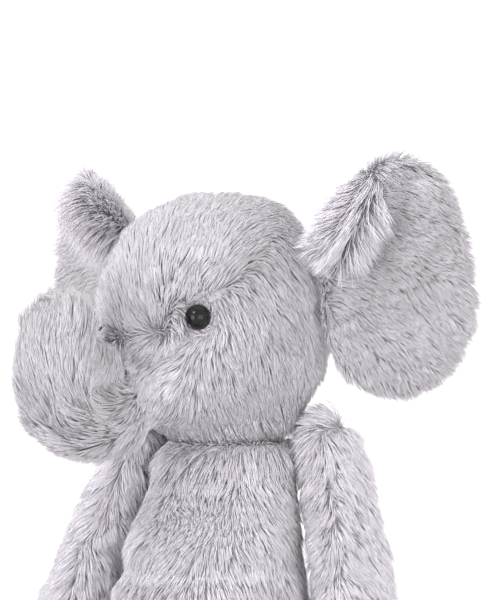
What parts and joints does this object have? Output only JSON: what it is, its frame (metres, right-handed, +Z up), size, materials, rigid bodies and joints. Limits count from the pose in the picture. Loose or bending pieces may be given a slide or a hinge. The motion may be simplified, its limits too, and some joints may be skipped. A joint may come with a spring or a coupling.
{
  "type": "stuffed elephant",
  "caption": "Sitting long-pile plush elephant in soft lavender grey, with a raised trunk, large curled ears and glossy black eyes.",
  "frame": {"origin": "on the flat seat, straight below the middle of the neck seam", "axes": "+Z up, the front faces -Y, the elephant's left is +X"},
  "size_m": [0.2026, 0.2098, 0.2391],
  "materials": {
    "plush": "soft lavender-grey long pile",
    "plush_ears": "soft lavender-grey long pile on both sides of the ears",
    "plush_ends": "lavender-grey pile on the soles and the trunk tip",
    "filling": "white polyester stuffing",
    "bean_bag": "plain woven bag of plastic beans",
    "eyes": "glossy black",
    "washers": "moulded white",
    "thread": "grey sewing thread",
    "label": "blank white woven tape"
  },
  "bodies": {
    "torso": {"torso_front": "plush", "torso_back": "plush", "torso_base": "plush", "torso_stuffing": "filling", "bean_bag": "bean_bag", "side_label": "label", "closing_seam": "thread"},
    "neck": {"neck_seam": "thread"},
    "head": {"head_side_left": "plush", "head_side_right": "plush", "forehead_gusset": "plush", "chin_gusset": "plush", "head_stuffing": "filling", "eye_left": "eyes", "eye_right": "eyes", "eye_washer_left": "washers", "eye_washer_right": "washers"},
    "trunk": {"trunk_upper": "plush", "trunk_under": "plush", "trunk_tip": "plush_ends", "trunk_stuffing": "filling"},
    "ear_left": {"ear_left_front": "plush_ears", "ear_left_back": "plush_ears"},
    "ear_right": {"ear_right_front": "plush_ears", "ear_right_back": "plush_ears"},
    "arm_left": {"arm_left_outer": "plush", "arm_left_inner": "plush", "arm_left_stuffing": "filling"},
    "arm_right": {"arm_right_outer": "plush", "arm_right_inner": "plush", "arm_right_stuffing": "filling"},
    "leg_left": {"leg_left_upper": "plush", "leg_left_under": "plush", "leg_left_sole": "plush_ends", "leg_left_stuffing": "filling"},
    "leg_right": {"leg_right_upper": "plush", "leg_right_under": "plush", "leg_right_sole": "plush_ends", "leg_right_stuffing": "filling"},
    "tail": {"tail_core": "plush", "tail_tuft": "plush"}
  },
  "joints": [
    {"name": "head_turn", "type": "hinge", "parent": "torso", "child": "neck", "pos_m": [0, 0, 0.128], "axis": [0, 0, 1], "range_deg": [-10, 35], "stiffness_Nm_per_rad": 0.3},
    {"name": "head_nod", "type": "hinge", "parent": "neck", "child": "head", "pos_m": [0, 0, 0.13], "axis": [0.9063, -0.4226, 0], "range_deg": [-5, 5], "stiffness_Nm_per_rad": 0.6},
    {"name": "trunk_curl", "type": "hinge", "parent": "head", "child": "trunk", "pos_m": [-0.03105, -0.066, 0.1325], "axis": [0.9063, -0.4226, 0], "range_deg": [-12, 35], "stiffness_Nm_per_rad": 0.06},
    {"name": "ear_left_flap", "type": "hinge", "parent": "head", "child": "ear_left", "pos_m": [0.0406, -0.008, 0.1785], "axis": [0, 0, 1], "range_deg": [-15, 15], "stiffness_Nm_per_rad": 0.03},
    {"name": "ear_right_flap", "type": "hinge", "parent": "head", "child": "ear_right", "pos_m": [-0.03267, 0.02617, 0.1845], "axis": [0, 0, -1], "range_deg": [-15, 15], "stiffness_Nm_per_rad": 0.03},
    {"name": "arm_left_swing", "type": "hinge", "parent": "torso", "child": "arm_left", "pos_m": [0.039, 0.0015, 0.127], "axis": [-1, 0, 0], "range_deg": [-20, 40], "stiffness_Nm_per_rad": 0.08},
    {"name": "arm_right_swing", "type": "hinge", "parent": "torso", "child": "arm_right", "pos_m": [-0.039, 0.0015, 0.127], "axis": [-1, 0, 0], "range_deg": [-20, 40], "stiffness_Nm_per_rad": 0.08},
    {"name": "leg_left_lift", "type": "hinge", "parent": "torso", "child": "leg_left", "pos_m": [0.026, -0.061, 0.023], "axis": [-1, 0, 0], "range_deg": [0, 30], "stiffness_Nm_per_rad": 0.1},
    {"name": "leg_right_lift", "type": "hinge", "parent": "torso", "child": "leg_right", "pos_m": [-0.026, -0.061, 0.023], "axis": [-1, 0, 0], "range_deg": [0, 30], "stiffness_Nm_per_rad": 0.1},
    {"name": "tail_wag", "type": "hinge", "parent": "torso", "child": "tail", "pos_m": [0, 0.0376, 0.022], "axis": [0, 0, 1], "range_deg": [-30, 30], "stiffness_Nm_per_rad": 0.01}
  ]
}
